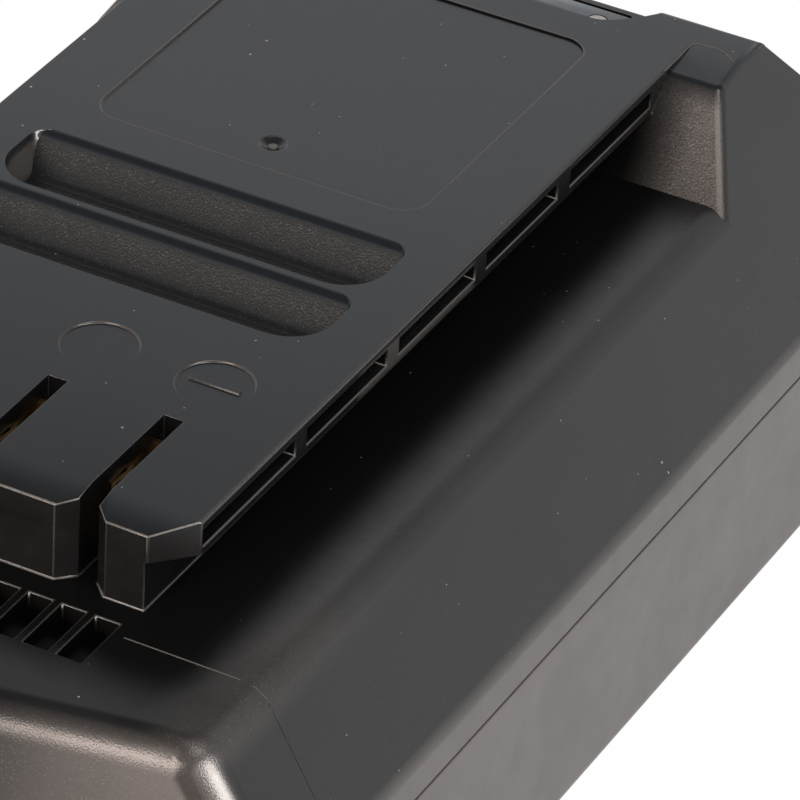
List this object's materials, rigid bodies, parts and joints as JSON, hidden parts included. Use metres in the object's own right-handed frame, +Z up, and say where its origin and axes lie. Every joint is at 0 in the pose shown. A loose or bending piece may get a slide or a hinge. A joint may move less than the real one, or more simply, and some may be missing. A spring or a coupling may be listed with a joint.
{
  "type": "power tool battery pack",
  "caption": "Slide-on battery pack for a cordless tool: rail with contact slots and catch troughs, charge display with a test button, cells and board inside.",
  "frame": {"origin": "centre of the footprint, on the underside", "axes": "+X across the pack to the right, +Y to the rear shoulder, +Z up; the tool slides on from -Y"},
  "size_m": [0.1034, 0.162, 0.0576],
  "materials": {
    "upper_shell": "matte, fine moulded grain",
    "lower_shell": "matte, fine moulded grain",
    "holder_plastic": "matte",
    "block_plastic": "matte",
    "cell_sleeve": "satin shrink sleeve",
    "nickel": "plain",
    "copper_bar": "plain",
    "contact_brass": "plain, bright",
    "board_laminate": "solder-masked laminate",
    "component_black": "matte",
    "spreader_aluminium": "milled",
    "lamp_resin": "gloss",
    "clear_plastic": "polished clear plastic",
    "smoked_lens": "gloss, smoked blue-grey",
    "button_plastic": "matte",
    "sheet_paper": "matte",
    "ribbon_film": "satin film",
    "screw_steel": "zinc plated"
  },
  "bodies": {
    "pack": {"board_screws": "screw_steel", "case_screws": "screw_steel", "cell_01": "cell_sleeve", "cell_02": "cell_sleeve", "cell_03": "cell_sleeve", "cell_04": "cell_sleeve", "cell_05": "cell_sleeve", "cell_06": "cell_sleeve", "cell_07": "cell_sleeve", "cell_08": "cell_sleeve", "cell_09": "cell_sleeve", "cell_10": "cell_sleeve", "cell_11": "cell_sleeve", "cell_12": "cell_sleeve", "cell_13": "cell_sleeve", "cell_14": "cell_sleeve", "cell_15": "cell_sleeve", "cell_16": "cell_sleeve", "cell_17": "cell_sleeve", "cell_18": "cell_sleeve", "cell_19": "cell_sleeve", "cell_20": "cell_sleeve", "circuit_board": "board_laminate", "control_chip": "component_black", "display_screws": "screw_steel", "front_cell_holder": "holder_plastic", "front_strip_1": "nickel", "front_strip_2": "nickel", "front_strip_3": "nickel", "heat_spreader": "spreader_aluminium", "indicator_board": "board_laminate", "indicator_lamps": "lamp_resin", "indicator_lens": "smoked_lens", "indicator_ribbon": "ribbon_film", "insulation_sheet": "sheet_paper", "light_guide": "clear_plastic", "lower_housing": "lower_shell", "middle_cell_holder": "holder_plastic", "middle_link_1": "nickel", "middle_link_2": "nickel", "middle_link_3": "nickel", "middle_link_4": "nickel", "middle_link_5": "nickel", "negative_bar": "copper_bar", "negative_clip": "contact_brass", "positive_bar": "copper_bar", "positive_clip": "contact_brass", "power_transistors": "component_black", "rear_cell_holder": "holder_plastic", "rear_strip_1": "nickel", "rear_strip_2": "nickel", "rear_strip_3": "nickel", "sense_bar": "copper_bar", "sense_clip": "contact_brass", "terminal_block": "block_plastic", "test_switch": "component_black", "upper_housing": "upper_shell"},
    "button": {"test_button": "button_plastic", "switch_plunger": "button_plastic"}
  },
  "joints": [
    {"name": "test_button_press", "type": "slide", "parent": "pack", "child": "button", "axis": [0, 0, -1], "range_m": [0, 0.0005], "stiffness_N_per_m": 1500, "springref_m": -0.0003}
  ]
}
